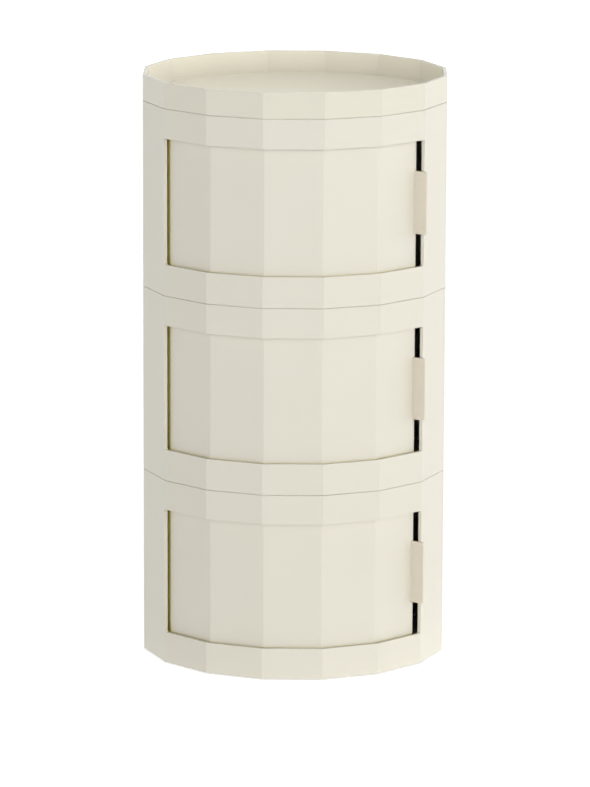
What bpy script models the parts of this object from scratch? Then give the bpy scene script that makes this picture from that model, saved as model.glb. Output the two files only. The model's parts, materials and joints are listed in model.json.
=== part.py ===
"""Faceted storage cabinet: three stacked sixteen-sided drums with sliding doors, under a shallow tray.

Units are metres, +Z is up and the front faces -Y. The origin is on the floor, on the cabinet's axis.
Angles are measured round that axis from the front, positive towards the right-hand side.
"""

from math import cos, pi, radians, sin

import bmesh
import bpy
from mathutils import Matrix

# Outline of the cabinet
FACETS = 16
OUTER_CORNER = 0.160        # axis to a corner of the outer wall
WALL = 0.0035
MODULE_HEIGHT = 0.194
MODULE_NAMES = ("lower", "middle", "upper")
TRAY_HEIGHT = 0.027
EDGE_EASE = 0.0004          # chamfer on the outer edges of a drum and of the tray

# Window in each drum
SILL_HEIGHT = 0.0323
HEADER_HEIGHT = 0.031
WINDOW_FACETS = 5           # its jambs stand on corners of the outer wall

# Clearances
REST_GAP = 0.0003           # between pieces that rest on each other
FIT_GAP = 0.0003            # beside a piece that drops into its seat
DOOR_GAP = 0.0010           # above and below a door panel
TRACK_GAP = 0.0003          # beside a glide in its track

# Joint between stacked drums
SKIN = 0.0015               # wall left outside the head ring and outside the lip socket
LIP_WALL = 0.0014
LIP_HEIGHT = 0.0015
LIP_HEADROOM = 0.0005

# Drum floor
LEDGE_REACH = 0.0035
LEDGE_THICKNESS = 0.0022
FLOOR_THICKNESS = 0.0032
RIM_WIDTH = 0.022
RIM_THICKNESS = 0.005
RIB_COUNT = 8
RIB_THICKNESS = 0.0024
RIB_RECESS = 0.0003         # the ribs and the hub stop this far above the rim's underside
HUB_RADIUS = 0.016

# Head ring
RING_THICKNESS = 0.0072
RING_WIDTH = 0.016

# Door and its tracks
DOOR_SWING_GAP = 0.0009     # from the door's corners to the flats of the wall that they pass
DOOR_THICKNESS = 0.003
DOOR_OVERLAP = 0.0133       # how far the closed door reaches behind the left jamb
FINGER_SLOT = 0.0029        # left open between the door's leading edge and the right jamb
DOOR_TRAVEL = radians(108.0)
TRACK_WIDTH = 0.003
TRACK_DEPTH = 0.0035
TRACK_STEP = radians(3.0)

# Door glides
GLIDE_LENGTH = 0.018
GLIDE_STEM_WIDTH = 0.0114
GLIDE_STEM_HEIGHT = 0.008
GLIDE_HEADROOM = 0.0005     # above an upper glide in its track
GLIDE_FACET = 2             # facets from the front facet to the one that holds a glide

# Pull tab
TAB_THICKNESS = 0.003
TAB_HEIGHT = 0.065
TAB_RISE = 0.0008           # its middle stands this far above the window's
TAB_PROUD = 0.0066          # past the corners of the outer wall
TAB_CORNER_RADIUS = 0.0025
TAB_CORNER_STEPS = 5
TAB_FLANGE_WIDTH = 0.016
TAB_FLANGE_THICKNESS = 0.002
TAB_FLANGE_HEIGHT = 0.052
TAB_FLANGE_INSET = 0.001    # the flange ends this far short of the door's edge

# Tray
TRAY_FLOOR_LEVEL = 0.004
TRAY_FLOOR_THICKNESS = 0.003

# Foot pads
PAD_COUNT = 4
PAD_RADIUS = 0.005
PAD_PROUD = 0.001
PAD_SEAT_DEPTH = 0.0010
PAD_SIDES = 24

# Worked out from the sizes above
FACET_ANGLE = 2 * pi / FACETS
WINDOW_HALF_ANGLE = WINDOW_FACETS * FACET_ANGLE / 2
OUTER_FLAT = OUTER_CORNER * cos(FACET_ANGLE / 2)
INNER_FLAT = OUTER_FLAT - WALL
SOCKET_FLAT = OUTER_FLAT - SKIN
LEDGE_FLAT = INNER_FLAT - LEDGE_REACH
FLOOR_FLAT = INNER_FLAT - FIT_GAP
RIM_FLAT = INNER_FLAT - RIM_WIDTH
RIM_BOTTOM = LEDGE_THICKNESS + REST_GAP
FLOOR_LEVEL = RIM_BOTTOM + RIM_THICKNESS
SOCKET_DEPTH = LIP_HEIGHT + LIP_HEADROOM
SHELL_TOP = MODULE_HEIGHT - REST_GAP
RING_TOP = MODULE_HEIGHT - REST_GAP
RING_BOTTOM = RING_TOP - RING_THICKNESS
RING_FLAT = SOCKET_FLAT - FIT_GAP
WINDOW_TOP = MODULE_HEIGHT - HEADER_HEIGHT
TAB_MIDDLE = (SILL_HEIGHT + WINDOW_TOP) / 2 + TAB_RISE
DOOR_CORNER = INNER_FLAT - DOOR_SWING_GAP
DOOR_FLAT = DOOR_CORNER * cos(FACET_ANGLE / 2)
DOOR_INNER_FLAT = DOOR_FLAT - DOOR_THICKNESS
DOOR_BOTTOM = FLOOR_LEVEL + DOOR_GAP
DOOR_TOP = RING_BOTTOM - DOOR_GAP
DOOR_LEADING_ANGLE = WINDOW_HALF_ANGLE - FINGER_SLOT / DOOR_CORNER
DOOR_TRAILING_ANGLE = -WINDOW_HALF_ANGLE - DOOR_OVERLAP / DOOR_CORNER
TRACK_RADIUS = DOOR_FLAT - DOOR_THICKNESS / 2
TRACK_FLOOR = FLOOR_LEVEL - TRACK_DEPTH
TRACK_ROOF = RING_BOTTOM + TRACK_DEPTH
GLIDE_ANGLE = GLIDE_FACET * FACET_ANGLE
GLIDE_HALF_ANGLE = GLIDE_LENGTH / 2 / TRACK_RADIUS
TRACK_END = GLIDE_ANGLE + GLIDE_HALF_ANGLE + TRACK_GAP / TRACK_RADIUS
TRACK_START = -TRACK_END - DOOR_TRAVEL
PAD_RING_RADIUS = (RIM_FLAT + TRACK_RADIUS - TRACK_WIDTH / 2) / 2
PAD_TOP = PAD_PROUD + RIM_BOTTOM + PAD_SEAT_DEPTH - REST_GAP
STACK_TOP = PAD_PROUD + len(MODULE_NAMES) * MODULE_HEIGHT
OVERCUT = 0.002             # how far a cutter runs past the face it opens
WELD = 0.000001


def clear_scene():
    """Remove everything that the file starts with."""
    for item in list(bpy.data.objects):
        bpy.data.objects.remove(item, do_unlink=True)
    for group in list(bpy.data.collections):
        bpy.data.collections.remove(group)


def finish(name, colour, roughness):
    """Return a plain moulded material."""
    material = bpy.data.materials.new(name)
    material.use_nodes = True
    shader = material.node_tree.nodes["Principled BSDF"]
    shader.inputs["Base Color"].default_value = (*colour, 1.0)
    shader.inputs["Roughness"].default_value = roughness
    shader.inputs["Metallic"].default_value = 0.0
    return material


def around(radius, angle):
    """Return the plan point at a radius and an angle from the front."""
    return (radius * sin(angle), -radius * cos(angle))


def facet_radius(flat, angle):
    """Return how far a sixteen-sided wall lies from the axis at an angle."""
    off_centre = (angle + FACET_ANGLE / 2) % FACET_ANGLE - FACET_ANGLE / 2
    return flat / cos(off_centre)


def steps_between(start, end, step):
    """Return evenly spaced angles from start to end, no further apart than step."""
    count = max(1, round((end - start) / step))
    return [start + (end - start) * index / count for index in range(count + 1)]


def add_object(name, mesh):
    """Link a mesh to the scene while it is being worked on."""
    item = bpy.data.objects.new(name, mesh)
    bpy.context.scene.collection.objects.link(item)
    return item


def evaluated_mesh(item):
    """Return an object's mesh with its modifiers applied, and remove the object."""
    bpy.context.view_layer.update()
    graph = bpy.context.evaluated_depsgraph_get()
    mesh = bpy.data.meshes.new_from_object(item.evaluated_get(graph), depsgraph=graph)
    bpy.data.objects.remove(item, do_unlink=True)
    return mesh


def welded(mesh):
    """Weld coincident points and turn the faces outwards."""
    work = bmesh.new()
    work.from_mesh(mesh)
    bmesh.ops.remove_doubles(work, verts=work.verts, dist=WELD)
    bmesh.ops.recalc_face_normals(work, faces=work.faces)
    work.to_mesh(mesh)
    work.free()
    return mesh


def faceted_turning(name, profile, closed):
    """Turn a profile of (distance to a flat, height) points into a sixteen-sided solid.

    An open profile starts and ends on the axis. Profiles run down their outer side.
    """
    points = [(flat / cos(FACET_ANGLE / 2), 0.0, height) for flat, height in profile]
    edges = [(index, index + 1) for index in range(len(points) - 1)]
    if closed:
        edges.append((len(points) - 1, 0))
    mesh = bpy.data.meshes.new(name)
    mesh.from_pydata(points, edges, [])
    mesh.transform(Matrix.Rotation(FACET_ANGLE / 2, 4, "Z"))
    item = add_object(name, mesh)
    screw = item.modifiers.new("facets", "SCREW")
    screw.steps = FACETS
    screw.render_steps = FACETS
    screw.use_merge_vertices = True
    screw.merge_threshold = WELD
    screw.use_smooth_shade = False
    return add_object(name, welded(evaluated_mesh(item)))


def flat_solid(name, outline, bottom, top):
    """Extrude a closed plan outline from one height to another."""
    curve = bpy.data.curves.new(name, "CURVE")
    curve.dimensions = "2D"
    curve.fill_mode = "BOTH"
    curve.extrude = (top - bottom) / 2
    spline = curve.splines.new("POLY")
    spline.points.add(len(outline) - 1)
    for point, (x, y) in zip(spline.points, outline):
        point.co = (x, y, 0.0, 1.0)
    spline.use_cyclic_u = True
    mesh = evaluated_mesh(add_object(name, curve))
    bpy.data.curves.remove(curve)
    mesh.transform(Matrix.Translation((0.0, 0.0, (bottom + top) / 2)))
    return add_object(name, welded(mesh))


def discs(name, centres, radius, sides, bottom, top):
    """Return upright round solids, one on each plan point."""
    work = bmesh.new()
    for x, y in centres:
        place = Matrix.Translation((x, y, (bottom + top) / 2))
        bmesh.ops.create_cone(work, cap_ends=True, segments=sides, radius1=radius, radius2=radius,
                              depth=top - bottom, matrix=place)
    mesh = bpy.data.meshes.new(name)
    work.to_mesh(mesh)
    work.free()
    return add_object(name, mesh)


def block(name, angle, inner, outer, left, right, bottom, top):
    """Return a box beside the axis at an angle: inner to outer away from it, left to right across."""
    work = bmesh.new()
    bmesh.ops.create_cube(work, size=1.0)
    mesh = bpy.data.meshes.new(name)
    work.to_mesh(mesh)
    work.free()
    size = Matrix.Diagonal((right - left, outer - inner, top - bottom, 1.0))
    place = Matrix.Translation(((left + right) / 2, -(inner + outer) / 2, (bottom + top) / 2))
    mesh.transform(Matrix.Rotation(angle, 4, "Z") @ place @ size)
    return add_object(name, mesh)


def combine(item, other, operation):
    """Cut another solid from an item, or join it on, and remove the other."""
    boolean = item.modifiers.new(operation.lower(), "BOOLEAN")
    boolean.operation = operation
    boolean.object = other
    boolean.solver = "EXACT"
    name = item.name
    mesh = evaluated_mesh(item)
    bpy.data.objects.remove(other, do_unlink=True)
    return add_object(name, welded(mesh))


def arc_band(inner, outer, start, end):
    """Return the outline of a round band between two angles."""
    angles = steps_between(start, end, TRACK_STEP)
    return [around(outer, angle) for angle in angles] + [around(inner, angle) for angle in reversed(angles)]


def track_cutter(bottom, top):
    """Return the groove that the glides run in: its two ends are the door's stops."""
    half = TRACK_WIDTH / 2
    outline = arc_band(TRACK_RADIUS - half, TRACK_RADIUS + half, TRACK_START, TRACK_END)
    return flat_solid("track", outline, bottom, top)


def foot_places():
    """Return the plan points of the foot pads, under facets half-way between front, sides and back."""
    return [around(PAD_RING_RADIUS, 2 * pi * (index + 0.5) / PAD_COUNT) for index in range(PAD_COUNT)]


def shell_mesh():
    """Return a drum's wall: window, floor ledge, lip socket below and head ring rebate above."""
    profile = [
        (OUTER_FLAT - EDGE_EASE, SHELL_TOP),
        (OUTER_FLAT, SHELL_TOP - EDGE_EASE),
        (OUTER_FLAT, EDGE_EASE),
        (OUTER_FLAT - EDGE_EASE, 0.0),
        (SOCKET_FLAT, 0.0),
        (SOCKET_FLAT, SOCKET_DEPTH),
        (INNER_FLAT, SOCKET_DEPTH),
        (INNER_FLAT, 0.0),
        (LEDGE_FLAT, 0.0),
        (LEDGE_FLAT, LEDGE_THICKNESS),
        (INNER_FLAT, LEDGE_THICKNESS),
        (INNER_FLAT, RING_BOTTOM - REST_GAP),
        (SOCKET_FLAT, RING_BOTTOM - REST_GAP),
        (SOCKET_FLAT, SHELL_TOP),
    ]
    shell = faceted_turning("shell", profile, closed=True)
    reach = 2 * OUTER_CORNER
    wedge = [(0.0, 0.0), around(reach, -WINDOW_HALF_ANGLE), around(reach, WINDOW_HALF_ANGLE)]
    window = flat_solid("window", wedge, SILL_HEIGHT, WINDOW_TOP)
    return evaluated_mesh(combine(shell, window, "DIFFERENCE"))


def floor_mesh():
    """Return a drum's floor: a ribbed plate whose thicker rim holds the track above and the pads below."""
    underside = FLOOR_LEVEL - FLOOR_THICKNESS
    profile = [
        (0.0, FLOOR_LEVEL),
        (FLOOR_FLAT, FLOOR_LEVEL),
        (FLOOR_FLAT, RIM_BOTTOM),
        (RIM_FLAT, RIM_BOTTOM),
        (RIM_FLAT, underside),
        (0.0, underside),
    ]
    floor = faceted_turning("floor", profile, closed=False)
    sunk = FLOOR_THICKNESS / 2
    into_rim = RIM_WIDTH / 4
    rib_bottom = RIM_BOTTOM + RIB_RECESS
    for index in range(RIB_COUNT):
        rib = block("rib", index * 2 * pi / RIB_COUNT, HUB_RADIUS / 2, RIM_FLAT + into_rim,
                    -RIB_THICKNESS / 2, RIB_THICKNESS / 2, rib_bottom, underside + sunk)
        floor = combine(floor, rib, "UNION")
    hub = discs("hub", [(0.0, 0.0)], HUB_RADIUS, PAD_SIDES, rib_bottom, underside + sunk)
    floor = combine(floor, hub, "UNION")
    seats = discs("pad_seats", foot_places(), PAD_RADIUS + FIT_GAP, PAD_SIDES,
                  RIM_BOTTOM - OVERCUT, RIM_BOTTOM + PAD_SEAT_DEPTH)
    floor = combine(floor, seats, "DIFFERENCE")
    track = track_cutter(TRACK_FLOOR, FLOOR_LEVEL + OVERCUT)
    return evaluated_mesh(combine(floor, track, "DIFFERENCE"))


def ring_mesh():
    """Return a head ring: it rests in the shell's rebate, and its lip keys what is stacked on it."""
    lip_top = MODULE_HEIGHT + LIP_HEIGHT
    inner = RING_FLAT - RING_WIDTH
    profile = [
        (RING_FLAT, lip_top),
        (RING_FLAT, RING_BOTTOM),
        (inner, RING_BOTTOM),
        (inner, RING_TOP),
        (RING_FLAT - LIP_WALL, RING_TOP),
        (RING_FLAT - LIP_WALL, lip_top),
    ]
    ring = faceted_turning("head_ring", profile, closed=True)
    track = track_cutter(RING_BOTTOM - OVERCUT, TRACK_ROOF)
    return evaluated_mesh(combine(ring, track, "DIFFERENCE"))


def glide_notches():
    """Return the angle and the height span of each glide's notch in the door's edges."""
    notches = {}
    for side, angle in (("left", -GLIDE_ANGLE), ("right", GLIDE_ANGLE)):
        notches["bottom_" + side] = (angle, DOOR_BOTTOM, DOOR_BOTTOM + GLIDE_STEM_HEIGHT + FIT_GAP)
        notches["top_" + side] = (angle, DOOR_TOP - GLIDE_STEM_HEIGHT - FIT_GAP, DOOR_TOP)
    return notches


def door_mesh():
    """Return a door: a faceted panel with notches for its glides and for its pull tab."""
    corners = [(index + 0.5) * FACET_ANGLE for index in range(-FACETS // 2, FACETS // 2)]
    inside = [angle for angle in corners if DOOR_TRAILING_ANGLE < angle < DOOR_LEADING_ANGLE]
    angles = [DOOR_TRAILING_ANGLE, *inside, DOOR_LEADING_ANGLE]
    outer = [around(facet_radius(DOOR_FLAT, angle), angle) for angle in angles]
    inner = [around(facet_radius(DOOR_INNER_FLAT, angle), angle) for angle in reversed(angles)]
    door = flat_solid("door", outer + inner, DOOR_BOTTOM, DOOR_TOP)
    half = GLIDE_STEM_WIDTH / 2 + FIT_GAP
    for angle, bottom, top in glide_notches().values():
        low = bottom - (OVERCUT if bottom == DOOR_BOTTOM else 0.0)
        high = top + (OVERCUT if top == DOOR_TOP else 0.0)
        notch = block("notch", angle, DOOR_INNER_FLAT - OVERCUT, DOOR_FLAT + OVERCUT,
                      -half, half, low, high)
        door = combine(door, notch, "DIFFERENCE")
    half = TAB_HEIGHT / 2 + FIT_GAP
    notch = block("notch", DOOR_LEADING_ANGLE, DOOR_INNER_FLAT - 2 * OVERCUT, DOOR_CORNER + OVERCUT,
                  -TAB_THICKNESS - FIT_GAP, TAB_THICKNESS, TAB_MIDDLE - half, TAB_MIDDLE + half)
    return evaluated_mesh(combine(door, notch, "DIFFERENCE"))


def glide_mesh(place):
    """Return a glide: a curved shoe that runs in the track, with a stem in the door's edge."""
    angle, bottom, top = glide_notches()[place]
    shoe_half = TRACK_WIDTH / 2 - TRACK_GAP
    stem_half = GLIDE_STEM_WIDTH / 2
    if place.startswith("bottom"):
        shoe_span = (TRACK_FLOOR + REST_GAP, bottom - REST_GAP)
        stem_span = (shoe_span[1] - REST_GAP, top - FIT_GAP)
    else:
        shoe_span = (top + REST_GAP, TRACK_ROOF - GLIDE_HEADROOM)
        stem_span = (bottom + FIT_GAP, shoe_span[0] + REST_GAP)
    band = arc_band(TRACK_RADIUS - shoe_half, TRACK_RADIUS + shoe_half,
                    angle - GLIDE_HALF_ANGLE, angle + GLIDE_HALF_ANGLE)
    shoe = flat_solid("glide", band, *shoe_span)
    stem = block("stem", angle, DOOR_INNER_FLAT, DOOR_FLAT, -stem_half, stem_half, *stem_span)
    return evaluated_mesh(combine(shoe, stem, "UNION"))


def tab_outline(root):
    """Return the pull tab seen from its side: x away from the axis, y up, with rounded outer corners."""
    tip = OUTER_CORNER + TAB_PROUD
    half = TAB_HEIGHT / 2
    centre = (tip - TAB_CORNER_RADIUS, half - TAB_CORNER_RADIUS)
    turns = [pi / 2 * index / TAB_CORNER_STEPS for index in range(TAB_CORNER_STEPS + 1)]
    upper = [(centre[0] + TAB_CORNER_RADIUS * cos(turn), centre[1] + TAB_CORNER_RADIUS * sin(turn))
             for turn in turns]
    lower = [(x, -y) for x, y in reversed(upper)]
    return lower + upper + [(root, half), (root, -half)]


def tab_mesh():
    """Return a pull tab: a radial plate through the door's edge, with a flange behind the door."""
    facet = GLIDE_ANGLE
    lean = DOOR_LEADING_ANGLE - facet
    flange_outer = DOOR_INNER_FLAT - FIT_GAP
    flange_inner = flange_outer - TAB_FLANGE_THICKNESS
    root = (flange_inner + TAB_FLANGE_THICKNESS / 4) / cos(lean)
    plate = flat_solid("pull_tab", tab_outline(root), 0.0, TAB_THICKNESS)
    upright = Matrix.Rotation(-pi / 2, 4, "Z") @ Matrix.Rotation(pi / 2, 4, "X")
    lift = Matrix.Translation((0.0, 0.0, TAB_MIDDLE))
    plate.data.transform(Matrix.Rotation(DOOR_LEADING_ANGLE, 4, "Z") @ lift @ upright)
    edge = DOOR_INNER_FLAT * sin(lean) / cos(lean) - TAB_FLANGE_INSET
    half = TAB_FLANGE_HEIGHT / 2
    flange = block("flange", facet, flange_inner, flange_outer, edge - TAB_FLANGE_WIDTH, edge,
                   TAB_MIDDLE - half, TAB_MIDDLE + half)
    return evaluated_mesh(combine(plate, flange, "UNION"))


def tray_mesh():
    """Return the top tray: a flat floor inside a faceted rim, with the lip socket below."""
    profile = [
        (0.0, TRAY_FLOOR_LEVEL),
        (INNER_FLAT, TRAY_FLOOR_LEVEL),
        (INNER_FLAT, TRAY_HEIGHT - EDGE_EASE),
        (INNER_FLAT + EDGE_EASE, TRAY_HEIGHT),
        (OUTER_FLAT - EDGE_EASE, TRAY_HEIGHT),
        (OUTER_FLAT, TRAY_HEIGHT - EDGE_EASE),
        (OUTER_FLAT, EDGE_EASE),
        (OUTER_FLAT - EDGE_EASE, 0.0),
        (SOCKET_FLAT, 0.0),
        (SOCKET_FLAT, SOCKET_DEPTH),
        (INNER_FLAT, SOCKET_DEPTH),
        (INNER_FLAT, TRAY_FLOOR_LEVEL - TRAY_FLOOR_THICKNESS),
        (0.0, TRAY_FLOOR_LEVEL - TRAY_FLOOR_THICKNESS),
    ]
    return evaluated_mesh(faceted_turning("tray", profile, closed=False))


def pad_mesh():
    """Return a foot pad."""
    pad = discs("pad", [(0.0, 0.0)], PAD_RADIUS, PAD_SIDES, 0.0, PAD_TOP)
    mesh = evaluated_mesh(pad)
    mesh.shade_smooth()
    mesh.set_sharp_from_angle(angle=FACET_ANGLE)
    return mesh


def add_pivot(name, height, group):
    """Add an empty on the cabinet's axis, where a moving piece turns or lifts."""
    pivot = bpy.data.objects.new(name, None)
    pivot.location = (0.0, 0.0, height)
    group.objects.link(pivot)
    return pivot


def add_piece(name, mesh, material, group, parent=None, place=(0.0, 0.0, 0.0)):
    """Add one piece of the cabinet as an object of its own."""
    piece = bpy.data.objects.new(name, mesh)
    piece.parent = parent
    piece.location = place
    if not mesh.materials:
        mesh.materials.append(material)
    group.objects.link(piece)
    return piece


def build_cabinet():
    """Model every piece once and stack the drums."""
    clear_scene()
    cream = {
        "shell": finish("shell_cream", (0.80, 0.76, 0.66), 0.45),
        "floor": finish("floor_cream", (0.78, 0.74, 0.64), 0.50),
        "head_ring": finish("ring_cream", (0.78, 0.74, 0.64), 0.50),
        "door": finish("door_cream", (0.80, 0.76, 0.66), 0.45),
        "pull_tab": finish("tab_cream", (0.80, 0.76, 0.66), 0.42),
        "tray": finish("tray_cream", (0.80, 0.76, 0.66), 0.42),
    }
    glide_white = finish("glide_white", (0.86, 0.86, 0.84), 0.35)
    pad_grey = finish("pad_grey", (0.10, 0.10, 0.10), 0.85)

    fixed = {"shell": shell_mesh(), "floor": floor_mesh(), "head_ring": ring_mesh()}
    sliding = {"door": door_mesh(), "pull_tab": tab_mesh()}
    glides = {place: glide_mesh(place) for place in glide_notches()}

    cabinet = bpy.data.collections.new("faceted_storage_cabinet")
    bpy.context.scene.collection.children.link(cabinet)
    for level, module in enumerate(MODULE_NAMES):
        drum = add_pivot(module + "_module", PAD_PROUD + level * MODULE_HEIGHT, cabinet)
        for piece, mesh in fixed.items():
            add_piece(module + "_" + piece, mesh, cream[piece], cabinet, drum)
        pivot = add_pivot(module + "_door_pivot", 0.0, cabinet)
        pivot.parent = drum
        for piece, mesh in sliding.items():
            add_piece(module + "_" + piece, mesh, cream[piece], cabinet, pivot)
        for place, mesh in glides.items():
            add_piece(module + "_glide_" + place, mesh, glide_white, cabinet, pivot)
    add_piece("top_tray", tray_mesh(), cream["tray"], cabinet, place=(0.0, 0.0, STACK_TOP))
    pad = pad_mesh()
    for number, (x, y) in enumerate(foot_places(), start=1):
        add_piece("foot_pad_" + str(number), pad, pad_grey, cabinet, place=(x, y, 0.0))


build_cabinet()
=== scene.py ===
"""Dresses the faceted storage cabinet: softened mouldings, satin cream plastic and a plain white studio.

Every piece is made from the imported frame, so its place and its size are the frame's own.
Units are metres, +Z is up and the front faces -Y.
"""

from __future__ import annotations

import json
import logging
from collections.abc import Callable, Mapping
from dataclasses import dataclass
from enum import Enum
from math import atan2, cos, exp, hypot, pi, radians, sin
from typing import Any, Union

import bmesh
import bpy
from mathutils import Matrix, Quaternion, Vector

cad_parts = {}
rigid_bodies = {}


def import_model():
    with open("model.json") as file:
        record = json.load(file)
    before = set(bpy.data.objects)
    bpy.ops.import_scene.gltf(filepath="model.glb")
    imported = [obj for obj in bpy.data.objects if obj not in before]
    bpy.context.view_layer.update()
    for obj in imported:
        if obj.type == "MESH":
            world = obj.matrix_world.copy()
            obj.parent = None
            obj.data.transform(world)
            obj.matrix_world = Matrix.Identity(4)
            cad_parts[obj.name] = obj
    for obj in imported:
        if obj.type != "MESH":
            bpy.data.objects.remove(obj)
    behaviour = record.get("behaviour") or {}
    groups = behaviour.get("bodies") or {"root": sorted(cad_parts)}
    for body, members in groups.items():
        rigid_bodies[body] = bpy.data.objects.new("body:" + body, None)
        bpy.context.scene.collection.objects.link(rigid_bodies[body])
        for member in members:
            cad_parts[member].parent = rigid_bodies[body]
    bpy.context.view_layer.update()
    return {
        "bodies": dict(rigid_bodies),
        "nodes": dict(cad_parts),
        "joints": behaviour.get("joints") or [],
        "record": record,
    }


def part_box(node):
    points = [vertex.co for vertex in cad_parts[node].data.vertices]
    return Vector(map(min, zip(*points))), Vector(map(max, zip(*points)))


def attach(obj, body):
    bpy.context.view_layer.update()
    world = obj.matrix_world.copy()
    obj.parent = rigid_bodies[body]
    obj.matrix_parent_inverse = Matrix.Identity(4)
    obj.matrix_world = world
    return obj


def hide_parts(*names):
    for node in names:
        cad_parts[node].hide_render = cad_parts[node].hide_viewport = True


LOG = logging.getLogger("cabinet")

Colour = tuple[float, float, float]
Place = tuple[float, float, float]
Frame = Mapping[str, Any]

# The wall's plan, and how near to it a point counts as on it.
FACETS = 16
FACET_TURN = 2 * pi / FACETS
ON_WALL = 0.00005

# How a solid is read: points that are one, sides that are flat, turns that are sharp, edges that stand.
WELD = 0.000002
FLAT_TURN = radians(0.5)
FACET_CREASE = radians(8.0)
ROUND_CREASE = radians(30.0)
UPRIGHT_SHARE = 0.999

# How a rounding curves, and how much more a large flat counts than its rounded edges when it is shaded.
ROUND_PROFILE = 0.5
FLATS_WEIGHT = 100

# A colour Mix node's sockets go by number, because their names repeat.
MIX_SHARE, MIX_FIRST, MIX_SECOND, MIX_RESULT = 0, 6, 7, 2

WHITE = (1.0, 1.0, 1.0, 1.0)


class Level(Enum):
    """The drums, from the floor up."""

    LOWER = "lower"
    MIDDLE = "middle"
    UPPER = "upper"


class GlidePlace(Enum):
    """Where a door's shoes run."""

    BOTTOM_LEFT = "bottom_left"
    BOTTOM_RIGHT = "bottom_right"
    TOP_LEFT = "top_left"
    TOP_RIGHT = "top_right"


class Slot(Enum):
    """Names of the record's finishes; the new pieces are built with one but do not record it."""

    SHELL = "shell"
    DOOR = "door"
    TRAY = "tray"
    TAB = "pull_tab"


class Term:
    """A shader value that Python's operators work on, each one adding its node."""

    def __init__(self, net: Net, socket: bpy.types.NodeSocket) -> None:
        """Wrap an output socket of a node tree."""
        self.net = net
        self.socket = socket

    def _maths(self, operation: str, first: Value, second: Value) -> Term:
        """Add a Math node.

        Args:
            operation: The node's operation.
            first: The value of its first socket.
            second: The value of its second socket.

        Returns:
            The node's result.
        """
        node = self.net.node("ShaderNodeMath", {"operation": operation}, {0: first, 1: second})
        return Term(self.net, node.outputs[0])

    def __add__(self, other: Value) -> Term:
        """Return this value plus another."""
        return self._maths("ADD", self, other)

    def __radd__(self, other: Value) -> Term:
        """Return another value plus this one."""
        return self._maths("ADD", other, self)

    def __sub__(self, other: Value) -> Term:
        """Return this value less another."""
        return self._maths("SUBTRACT", self, other)

    def __rsub__(self, other: Value) -> Term:
        """Return another value less this one."""
        return self._maths("SUBTRACT", other, self)

    def __mul__(self, other: Value) -> Term:
        """Return this value times another."""
        return self._maths("MULTIPLY", self, other)

    def __rmul__(self, other: Value) -> Term:
        """Return another value times this one."""
        return self._maths("MULTIPLY", other, self)

    def __rpow__(self, other: Value) -> Term:
        """Return another value to the power of this one."""
        return self._maths("POWER", other, self)

    def __or__(self, other: Value) -> Term:
        """Return the larger of two values."""
        return self._maths("MAXIMUM", self, other)


Value = Union[Term, bpy.types.NodeSocket, float, tuple]


class Net:
    """A node tree that is written as expressions."""

    def __init__(self, owner: bpy.types.Material | bpy.types.World) -> None:
        """Start an empty tree.

        Args:
            owner: The material or the world that it belongs to.
        """
        owner.use_nodes = True
        self.tree = owner.node_tree
        self.tree.nodes.clear()

    def node(self, kind: str, settings: Mapping[str, Any],
             sockets: Mapping[str | int, Value]) -> bpy.types.Node:
        """Add a node.

        Args:
            kind: The node's type.
            settings: Its own properties, which are set first.
            sockets: Values or links for its input sockets, by name or by number.

        Returns:
            The new node.
        """
        made = self.tree.nodes.new(kind)
        for name, setting in settings.items():
            setattr(made, name, setting)
        for key, value in sockets.items():
            self.feed(made.inputs[key], value)
        return made

    def feed(self, socket: bpy.types.NodeSocket, value: Value) -> None:
        """Link a value to a socket, or set it there.

        Args:
            socket: The input socket.
            value: A shader value or an output socket, which is linked, or a number or colour.
        """
        if isinstance(value, Term):
            self.tree.links.new(value.socket, socket)
        elif isinstance(value, bpy.types.NodeSocket):
            self.tree.links.new(value, socket)
        else:
            socket.default_value = value

    def term(self, kind: str, settings: Mapping[str, Any], sockets: Mapping[str | int, Value],
             output: str | int = 0) -> Term:
        """Add a node and return one of its outputs as a value.

        Args:
            kind: The node's type.
            settings: Its own properties.
            sockets: Values or links for its input sockets.
            output: The output to return, by name or by number.

        Returns:
            That output.
        """
        return Term(self, self.node(kind, settings, sockets).outputs[output])

    def spot(self) -> Term:
        """Return the point on the surface, in the piece's own space."""
        return self.term("ShaderNodeTexCoord", {}, {}, "Object")

    def noise(self, place: Term, scale: float, detail: float) -> Term:
        """Return soft noise from 0 to 1.

        Args:
            place: The point on the surface.
            scale: Cells to the metre.
            detail: How many finer layers are added.

        Returns:
            The noise.
        """
        return self.term("ShaderNodeTexNoise", {}, {"Vector": place, "Scale": scale, "Detail": detail})

    def tint(self, share: Value, first: Term | Colour, second: Term | Colour) -> Term:
        """Return a colour between two others.

        Args:
            share: How much of the second colour there is, held between 0 and 1.
            first: The colour at 0.
            second: The colour at 1.

        Returns:
            The blended colour.
        """
        ends = [end if isinstance(end, Term) else (*end, 1.0) for end in (first, second)]
        return self.term("ShaderNodeMix", {"data_type": "RGBA"},
                         {MIX_SHARE: share, MIX_FIRST: ends[0], MIX_SECOND: ends[1]}, MIX_RESULT)

    def relief(self, height: Term, distance: float) -> Term:
        """Return the normal of a surface with a fine relief.

        Args:
            height: The relief, from 0 to about 1.
            distance: How tall it stands at 1.

        Returns:
            The normal.
        """
        return self.term("ShaderNodeBump", {}, {"Strength": 1.0, "Distance": distance, "Height": height})

    def output(self, kind: str, shader: bpy.types.Node) -> None:
        """End the tree with a shader."""
        self.node(kind, {}, {"Surface": shader.outputs[0]})


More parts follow.
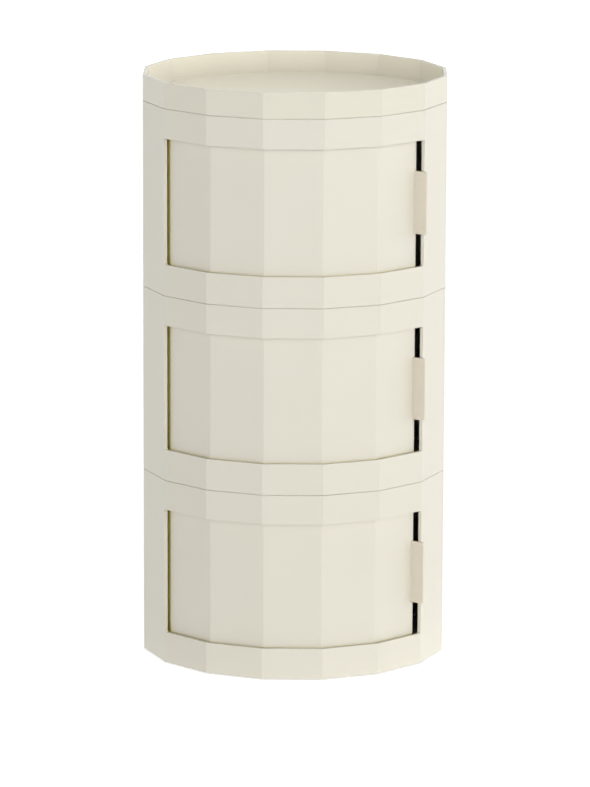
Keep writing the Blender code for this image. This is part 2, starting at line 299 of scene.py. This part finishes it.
@dataclass(frozen=True)
class SatinCream:
    """Cream moulded plastic: even colour, satin skin, fine spark-eroded grain, painted warm shade in deep
    gaps.
    """

    name: str
    colour: Colour = (0.802, 0.770, 0.666)
    shade: Colour = (0.777, 0.744, 0.636)
    grain_share: float = 0.3
    roughness: float = 0.33
    roughness_swing: float = 0.06
    ripple_gloss: float = 0.5
    refraction: float = 1.5
    cloud_scale: float = 11.0
    cloud_detail: float = 3.0
    ripple_scale: float = 160.0
    ripple_height: float = 0.4
    grain_scale: float = 1700.0
    fine_detail: float = 2.0
    bump_height: float = 0.000018
    # Painted shade: these set a dark warm tint that ambient occlusion lays into narrow gaps, standing for
    # the light that bounces there.
    painted_gap_shade: bool = False
    painted_shade_colour: Colour = (0.80, 0.68, 0.13)
    gap_reach: float = 0.012
    gap_limit: float = 0.62
    gap_gain: float = 1.85

    def warm(self, net: Net, colour: Term) -> Term:
        """Return a colour with painted warm shade where the surface runs into a narrow gap.

        Args:
            net: The finish's node tree.
            colour: The colour in the open.

        Returns:
            The colour with its painted warm shade in the gaps.
        """
        # Painted shade: how closed in the surface is sets how far the colour turns to the dark warm tint.
        open_share = net.term("ShaderNodeAmbientOcclusion", {}, {"Distance": self.gap_reach}, "AO")
        return net.tint(self.gap_gain * (self.gap_limit - open_share), colour, self.painted_shade_colour)

    def make(self) -> bpy.types.Material:
        """Make the finish.

        Returns:
            The material.
        """
        material = bpy.data.materials.new(self.name)
        net = Net(material)
        place = net.spot()
        cloud = net.noise(place, self.cloud_scale, self.cloud_detail)
        ripple = net.noise(place, self.ripple_scale, self.fine_detail)
        grain = net.noise(place, self.grain_scale, self.fine_detail)
        mottle = (1 - self.grain_share) * cloud + self.grain_share * grain
        colour = net.tint(mottle, self.shade, self.colour)
        # Painted shade in deep gaps, for the finishes that ask for it.
        if self.painted_gap_shade:
            colour = self.warm(net, colour)
        middle = (1 + self.ripple_gloss) / 2
        gloss = self.roughness + self.roughness_swing * (cloud + self.ripple_gloss * ripple - middle)
        relief = net.relief(grain + self.ripple_height * ripple, self.bump_height)
        skin = net.node("ShaderNodeBsdfPrincipled", {}, {
            "Base Color": colour, "Roughness": gloss, "Normal": relief, "IOR": self.refraction})
        net.output("ShaderNodeOutputMaterial", skin)
        return material


@dataclass(frozen=True)
class GlideWhite:
    """Slippery off-white plastic, a little polished where it runs."""

    name: str = "glide_white"
    colour: Colour = (0.84, 0.84, 0.81)
    shade: Colour = (0.76, 0.76, 0.72)
    roughness: float = 0.28
    streak_roughness: float = 0.12
    streak_scale: float = 240.0
    streak_detail: float = 3.0
    bump_height: float = 0.00002

    def make(self) -> bpy.types.Material:
        """Make the finish.

        Returns:
            The material.
        """
        material = bpy.data.materials.new(self.name)
        net = Net(material)
        streak = net.noise(net.spot(), self.streak_scale, self.streak_detail)
        skin = net.node("ShaderNodeBsdfPrincipled", {}, {
            "Base Color": net.tint(streak, self.shade, self.colour),
            "Roughness": self.roughness + self.streak_roughness * streak,
            "Normal": net.relief(streak, self.bump_height)})
        net.output("ShaderNodeOutputMaterial", skin)
        return material


@dataclass(frozen=True)
class PadRubber:
    """Dark grey rubber with a dusty bloom."""

    name: str = "pad_rubber"
    colour: Colour = (0.055, 0.055, 0.058)
    bloom: Colour = (0.13, 0.13, 0.13)
    roughness: float = 0.72
    bloom_roughness: float = 0.2
    bloom_scale: float = 320.0
    bloom_detail: float = 4.0
    grain_scale: float = 2600.0
    grain_detail: float = 2.0
    bump_height: float = 0.00004

    def make(self) -> bpy.types.Material:
        """Make the finish.

        Returns:
            The material.
        """
        material = bpy.data.materials.new(self.name)
        net = Net(material)
        place = net.spot()
        bloom = net.noise(place, self.bloom_scale, self.bloom_detail)
        grain = net.noise(place, self.grain_scale, self.grain_detail)
        skin = net.node("ShaderNodeBsdfPrincipled", {}, {
            "Base Color": net.tint(bloom * grain, self.colour, self.bloom),
            "Roughness": self.roughness + self.bloom_roughness * bloom,
            "Normal": net.relief(grain, self.bump_height)})
        net.output("ShaderNodeOutputMaterial", skin)
        return material


@dataclass(frozen=True)
class FacetPlan:
    """The plan of a sixteen-sided wall whose first flat faces the front."""

    flat: float

    def reach(self, point: Vector) -> float:
        """Return how far out a point lies, measured square to the nearest flat."""
        off = (atan2(point.x, -point.y) + FACET_TURN / 2) % FACET_TURN - FACET_TURN / 2
        return hypot(point.x, point.y) * cos(off)

    def holds(self, point: Vector) -> bool:
        """Return whether a point lies on the wall."""
        return abs(self.reach(point) - self.flat) < ON_WALL

    def on_wall(self, edge: bmesh.types.BMEdge) -> bool:
        """Return whether an edge lies on the wall."""
        return all(self.holds(vert.co) for vert in edge.verts)


@dataclass(frozen=True)
class Rounding:
    """How far an edge is rounded back on each side, and in how many strips."""

    width: float
    strips: int = 3


def upright(edge: bmesh.types.BMEdge) -> bool:
    """Return whether an edge stands upright."""
    run = edge.verts[1].co - edge.verts[0].co
    return abs(run.z) > UPRIGHT_SHARE * run.length


def between(part: bmesh.types.BMEdge | bmesh.types.BMFace, low: float, high: float) -> bool:
    """Return whether an edge or a face lies wholly between two levels."""
    return all(low < vert.co.z < high for vert in part.verts)


class Moulding:
    """A visible moulding, made from its solid in the frame and given real rounded edges."""

    def __init__(self, node: bpy.types.Object, crease: float = FACET_CREASE) -> None:
        """Take a solid's shape, with each flat side as one face.

        Args:
            node: The solid in the frame.
            crease: The angle past which a turn counts as sharp.
        """
        self.node = node
        self.shape = bmesh.new()
        self.shape.from_mesh(node.data)
        bmesh.ops.remove_doubles(self.shape, verts=self.shape.verts, dist=WELD)
        bmesh.ops.dissolve_limit(self.shape, angle_limit=FLAT_TURN, use_dissolve_boundaries=False,
                                 verts=self.shape.verts, edges=self.shape.edges, delimit=set())
        self.mark_sharp(crease)

    def mark_sharp(self, crease: float) -> None:
        """Mark the edges that turn by more than an angle as sharp.

        Args:
            crease: The angle.
        """
        for edge in self.shape.edges:
            if edge.calc_face_angle(0.0) > crease:
                edge.smooth = False

    def round_edges(self, rounding: Rounding, chosen: Callable[[bmesh.types.BMEdge], bool]) -> None:
        """Round some of the sharp edges.

        Args:
            rounding: The size of the rounding.
            chosen: Says of each sharp edge whether it is rounded.
        """
        edges = [edge for edge in self.shape.edges if not edge.smooth and chosen(edge)]
        for edge in edges:
            edge.smooth = True
        bmesh.ops.bevel(self.shape, geom=edges, offset=rounding.width, offset_type="OFFSET",
                        segments=rounding.strips, profile=ROUND_PROFILE, affect="EDGES", clamp_overlap=True)

    def push_out(self, distance: float, chosen: Callable[[bmesh.types.BMFace], bool]) -> None:
        """Push some faces outwards, each along its own normal.

        Args:
            distance: How far they go.
            chosen: Says of each face whether it goes.
        """
        moves = [(vert, face.normal * distance)
                 for face in self.shape.faces if chosen(face) for vert in face.verts]
        for vert, move in moves:
            vert.co += move

    def settle_order(self) -> None:
        """Put the faces in one order: rounding leaves it to chance, and every run has to be the same."""
        self.shape.verts.index_update()
        count = len(self.shape.verts)

        def rank(face: bmesh.types.BMFace) -> int:
            """Return a face's own number, from the numbers of its points."""
            points = sorted(vert.index for vert in face.verts)
            return ((points[0] * count + points[1]) * count + points[2]) * count + points[-1]

        self.shape.faces.sort(key=rank)

    def place(self, name: str, body: str, slot: Slot, material: bpy.types.Material) -> None:
        """Put the moulding in the scene, instead of its solid.

        Args:
            name: The piece's name.
            body: The body that carries it.
            slot: Not used.
            material: The finish.
        """
        self.settle_order()
        for face in self.shape.faces:
            face.smooth = True
        mesh = bpy.data.meshes.new(name)
        self.shape.to_mesh(mesh)
        self.shape.free()
        mesh.materials.append(material)
        piece = bpy.data.objects.new(name, mesh)
        bpy.context.scene.collection.objects.link(piece)
        even = piece.modifiers.new("even_flats", "WEIGHTED_NORMAL")
        even.weight = FLATS_WEIGHT
        even.keep_sharp = True
        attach(piece, body)
        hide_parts(self.node.name)
        LOG.info("%s: %d faces", name, len(mesh.polygons))


def dress(node: bpy.types.Object, material: bpy.types.Material) -> None:
    """Give a solid of the frame its finish.

    Args:
        node: The solid, whose shape is kept.
        material: The finish.
    """
    node.data.materials.clear()
    node.data.materials.append(material)
    LOG.info("%s: %s", node.name, material.name)


@dataclass(frozen=True)
class Finishes:
    """The cabinet's materials, each made once."""

    shell: bpy.types.Material
    door: bpy.types.Material
    tray: bpy.types.Material
    tab: bpy.types.Material
    inside: bpy.types.Material
    glide: bpy.types.Material
    pad: bpy.types.Material

    @classmethod
    def make(cls) -> Finishes:
        """Make all of them.

        Returns:
            The materials by use.
        """
        return cls(
            shell=SatinCream("shell_cream").make(),
            # The door's finish has painted warm shade in its deep gaps.
            door=SatinCream("door_cream", cloud_scale=13.0, painted_gap_shade=True).make(),
            # The tray's cream is more saturated than the shell's: a painted warm shade tint for light
            # bounced inside the dish.
            tray=SatinCream("tray_cream", colour=(0.802, 0.768, 0.650), shade=(0.777, 0.742, 0.620),
                            roughness=0.08, roughness_swing=0.03).make(),
            # The tab's cream is pinker than the rest: a painted shade tint for the bounced light on its
            # shaded face.
            tab=SatinCream("tab_cream", colour=(0.802, 0.738, 0.621), shade=(0.777, 0.713, 0.592),
                           cloud_scale=40.0).make(),
            inside=SatinCream("inside_cream", roughness=0.45, bump_height=0.00003).make(),
            glide=GlideWhite().make(),
            pad=PadRubber().make(),
        )


@dataclass
class Drum:
    """One drum of the stack: its wall with the window, its floor and its head ring."""

    level: Level
    edge: Rounding = Rounding(0.0005)
    window_corner: Rounding = Rounding(0.0016, 4)
    end_margin: float = 0.002

    def build(self, frame: Frame, finishes: Finishes) -> None:
        """Make the drum's wall and dress its inner pieces.

        Args:
            frame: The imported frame.
            finishes: The cabinet's materials.
        """
        name = self.level.value
        node = frame["nodes"][f"{name}_shell"]
        low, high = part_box(node.name)
        plan = FacetPlan(high.x)

        def clear(edge: bmesh.types.BMEdge) -> bool:
            """Return whether an edge is away from the drum's two rims."""
            return between(edge, low.z + self.end_margin, high.z - self.end_margin)

        def across_wall(edge: bmesh.types.BMEdge) -> bool:
            """Return whether an edge is a corner of the window, running through the wall."""
            return clear(edge) and sum(plan.holds(vert.co) for vert in edge.verts) == 1

        def seen(edge: bmesh.types.BMEdge) -> bool:
            """Return whether an edge is on the outside: away from the rims, or upright."""
            return plan.on_wall(edge) and (clear(edge) or upright(edge))

        wall = Moulding(node)
        wall.round_edges(self.window_corner, across_wall)
        wall.mark_sharp(ROUND_CREASE)
        wall.round_edges(self.edge, seen)
        wall.place(f"{name}_drum_wall", f"{name}_module", Slot.SHELL, finishes.shell)
        dress(frame["nodes"][f"{name}_floor"], finishes.inside)
        dress(frame["nodes"][f"{name}_head_ring"], finishes.inside)


@dataclass
class SlidingDoor:
    """A drum's door: its faceted panel, its pull tab and its glides."""

    level: Level
    panel_edge: Rounding = Rounding(0.0004)
    tab_edge: Rounding = Rounding(0.0004)
    tab_margin: float = 0.0006
    tab_closing: float = 0.00025

    def build(self, frame: Frame, finishes: Finishes) -> None:
        """Make the panel and the tab, and dress the glides.

        Args:
            frame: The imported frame.
            finishes: The cabinet's materials.
        """
        name = self.level.value
        body = f"{name}_sliding_door"
        low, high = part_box(f"{name}_pull_tab")

        def beside_tab(part: bmesh.types.BMEdge | bmesh.types.BMFace) -> bool:
            """Return whether an edge or a face is in the notch that holds the tab."""
            level_with_it = between(part, low.z - self.tab_margin, high.z + self.tab_margin)
            return level_with_it and all(vert.co.x > low.x - self.tab_margin for vert in part.verts)

        panel = Moulding(frame["nodes"][f"{name}_door"])
        panel.push_out(self.tab_closing, beside_tab)
        panel.round_edges(self.panel_edge, lambda edge: not beside_tab(edge))
        panel.place(f"{name}_door_panel", body, Slot.DOOR, finishes.door)
        tab = Moulding(frame["nodes"][f"{name}_pull_tab"], ROUND_CREASE)
        tab.round_edges(self.tab_edge, lambda edge: edge.is_convex)
        tab.place(f"{name}_tab_plate", body, Slot.TAB, finishes.tab)
        for place in GlidePlace:
            dress(frame["nodes"][f"{name}_glide_{place.value}"], finishes.glide)


@dataclass
class TopTray:
    """The shallow tray on top of the stack."""

    edge: Rounding = Rounding(0.0005)
    fillet: Rounding = Rounding(0.0005)
    end_margin: float = 0.002

    def build(self, frame: Frame, finishes: Finishes) -> None:
        """Make the tray.

        Args:
            frame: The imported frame.
            finishes: The cabinet's materials.
        """
        node = frame["nodes"]["top_tray"]
        low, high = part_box(node.name)
        tray = Moulding(node)

        def inner_corner(edge: bmesh.types.BMEdge) -> bool:
            """Return whether an edge is where the tray's floor meets its rim."""
            inside = between(edge, low.z + self.end_margin, high.z - self.end_margin)
            return inside and not edge.is_convex and not upright(edge)

        tray.round_edges(self.fillet, inner_corner)
        tray.round_edges(self.edge, upright)
        tray.place("tray_dish", "tray", Slot.TRAY, finishes.tray)


@dataclass
class FootPads:
    """The four pads under the lowest drum."""

    count: int = 4

    def build(self, frame: Frame, finishes: Finishes) -> None:
        """Dress the pads.

        Args:
            frame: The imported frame.
            finishes: The cabinet's materials.
        """
        for number in range(1, self.count + 1):
            dress(frame["nodes"][f"foot_pad_{number}"], finishes.pad)


@dataclass(frozen=True)
class Lamp:
    """A round soft lamp: where it hangs, where it points, how wide it is and how far its light spreads."""

    name: str
    place: Place
    aim: Place
    size: float
    power: float
    spread: float


@dataclass(frozen=True)
class Studio:
    """A white floor under a soft dome that is brightest on the right, with a lamp over the tray."""

    floor_radius: float = 30.0
    floor_sides: int = 96
    floor_drop: float = 0.0002
    floor_colour: Colour = (0.90, 0.90, 0.90)
    floor_lift: float = 0.70
    top_level: float = 0.15
    band_level: float = 2.96
    band_lean: float = 1.92
    band_height: float = 0.30
    bright_side: float = radians(54.0)
    fill_level: float = 2.2
    fill_side: float = radians(192.0)
    lamp: Lamp = Lamp("overhead", place=(0.0, 0.0, 2.6), aim=(0.0, 0.0, 0.6), size=0.31, power=0.105,
                      spread=radians(2.0))

    def seen_share(self, net: Net) -> Term:
        """Return which rays look straight at the studio.

        Args:
            net: The node tree that asks.

        Returns:
            1 for the camera's rays, for reflections and through glass, and 0 for the rest of the light.
        """
        path = net.node("ShaderNodeLightPath", {}, {})
        camera = Term(net, path.outputs["Is Camera Ray"])
        mirrored = Term(net, path.outputs["Is Glossy Ray"])
        through = Term(net, path.outputs["Is Transmission Ray"])
        return camera | mirrored | through

    def facing(self, net: Net, way: Term, side: float) -> Term:
        """Return how nearly a direction is one side's: 1 straight towards it and -1 straight away.

        Args:
            net: The world's node tree.
            way: The direction looked in.
            side: The side, as an angle from the front towards the right.

        Returns:
            The cosine of the angle between the two.
        """
        return net.term("ShaderNodeVectorMath", {"operation": "DOT_PRODUCT"},
                        {0: way, 1: (sin(side), -cos(side), 0.0)}, "Value")

    def build_world(self) -> None:
        """Make the dome of light: a band round the horizon, a fill behind and a dim top.

        The band is stronger on one side. The camera and reflections see nothing brighter than white.
        """
        world = bpy.data.worlds.new("studio_dome")
        bpy.context.scene.world = world
        net = Net(world)
        way = net.term("ShaderNodeTexCoord", {}, {}, "Generated")
        lean = self.band_lean * self.facing(net, way, self.bright_side)
        behind = self.facing(net, way, self.fill_side) | 0.0
        squared = behind * behind
        fill = self.fill_level * squared * squared
        height = net.term("ShaderNodeSeparateXYZ", {}, {0: way}, "Z")
        fading = exp(-1.0 / self.band_height ** 2) ** (height * height)
        level = self.top_level + (self.band_level + lean + fill) * fading
        past_white = (level - 1.0) | 0.0
        dome = net.node("ShaderNodeBackground", {}, {
            "Color": WHITE, "Strength": level - self.seen_share(net) * past_white})
        net.output("ShaderNodeOutputWorld", dome)

    def floor_finish(self) -> bpy.types.Material:
        """Make a white floor that keeps the cabinet's shadow.

        Returns:
            The material.
        """
        material = bpy.data.materials.new("studio_white")
        net = Net(material)
        matt = net.node("ShaderNodeBsdfDiffuse", {}, {"Color": (*self.floor_colour, 1.0)})
        glow = net.node("ShaderNodeEmission", {}, {
            "Color": WHITE, "Strength": self.floor_lift * self.seen_share(net)})
        both = net.node("ShaderNodeAddShader", {}, {0: matt.outputs[0], 1: glow.outputs[0]})
        net.output("ShaderNodeOutputMaterial", both)
        return material

    def build_floor(self) -> None:
        """Lay the floor."""
        shape = bmesh.new()
        bmesh.ops.create_circle(shape, cap_ends=True, radius=self.floor_radius, segments=self.floor_sides)
        mesh = bpy.data.meshes.new("studio_floor")
        shape.to_mesh(mesh)
        shape.free()
        mesh.materials.append(self.floor_finish())
        floor = bpy.data.objects.new("studio_floor", mesh)
        floor.location = (0.0, 0.0, -self.floor_drop)
        bpy.context.scene.collection.objects.link(floor)

    def hang(self, lamp: Lamp) -> None:
        """Hang a lamp.

        Args:
            lamp: What it is and where it goes.
        """
        light = bpy.data.lights.new(lamp.name, "AREA")
        light.shape = "DISK"
        light.size = lamp.size
        light.energy = lamp.power
        light.spread = lamp.spread
        item = bpy.data.objects.new(lamp.name, light)
        item.location = lamp.place
        item.rotation_mode = "QUATERNION"
        item.rotation_quaternion = (Vector(lamp.aim) - item.location).to_track_quat("-Z", "Y")
        item.visible_camera = False
        bpy.context.scene.collection.objects.link(item)

    def build(self) -> None:
        """Make the studio."""
        self.build_world()
        self.build_floor()
        self.hang(self.lamp)
        bpy.context.scene.view_settings.view_transform = "Standard"
        LOG.info("studio: white floor, dome and a lamp over the tray")


@dataclass(frozen=True)
class PhotoCamera:
    """The camera that takes the picture: where it stands, where it looks and how long its lens is."""

    place: Place = (0.0431, -5.2893, 1.35274)
    heading: float = radians(-0.457)
    tilt: float = radians(11.578)
    roll: float = radians(0.212)
    focal_pixels: float = 5149.95
    frame_height: int = 787
    sensor: float = 36.0

    def build(self) -> None:
        """Make the camera."""
        lens = bpy.data.cameras.new("photo_camera")
        lens.sensor_width = self.sensor
        lens.lens = self.focal_pixels / self.frame_height * self.sensor
        camera = bpy.data.objects.new("photo_camera", lens)
        camera.location = self.place
        level_share = cos(self.tilt)
        ahead = Vector((sin(self.heading) * level_share, cos(self.heading) * level_share, -sin(self.tilt)))
        turn = ahead.to_track_quat("-Z", "Y")
        camera.rotation_mode = "QUATERNION"
        camera.rotation_quaternion = turn @ Quaternion((0.0, 0.0, 1.0), self.roll)
        bpy.context.scene.collection.objects.link(camera)
        bpy.context.scene.camera = camera
        LOG.info("camera: %.1f mm lens", lens.lens)


def clear_scene() -> None:
    """Remove what the file starts with."""
    for item in list(bpy.data.objects):
        bpy.data.objects.remove(item, do_unlink=True)


def main() -> None:
    """Build the pieces in order, then the studio and the camera."""
    logging.basicConfig(level=logging.INFO, format="%(message)s")
    clear_scene()
    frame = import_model()
    finishes = Finishes.make()
    for level in Level:
        Drum(level).build(frame, finishes)
        SlidingDoor(level).build(frame, finishes)
    TopTray().build(frame, finishes)
    FootPads().build(frame, finishes)
    Studio().build()
    PhotoCamera().build()


if __name__ == "__main__":
    main()
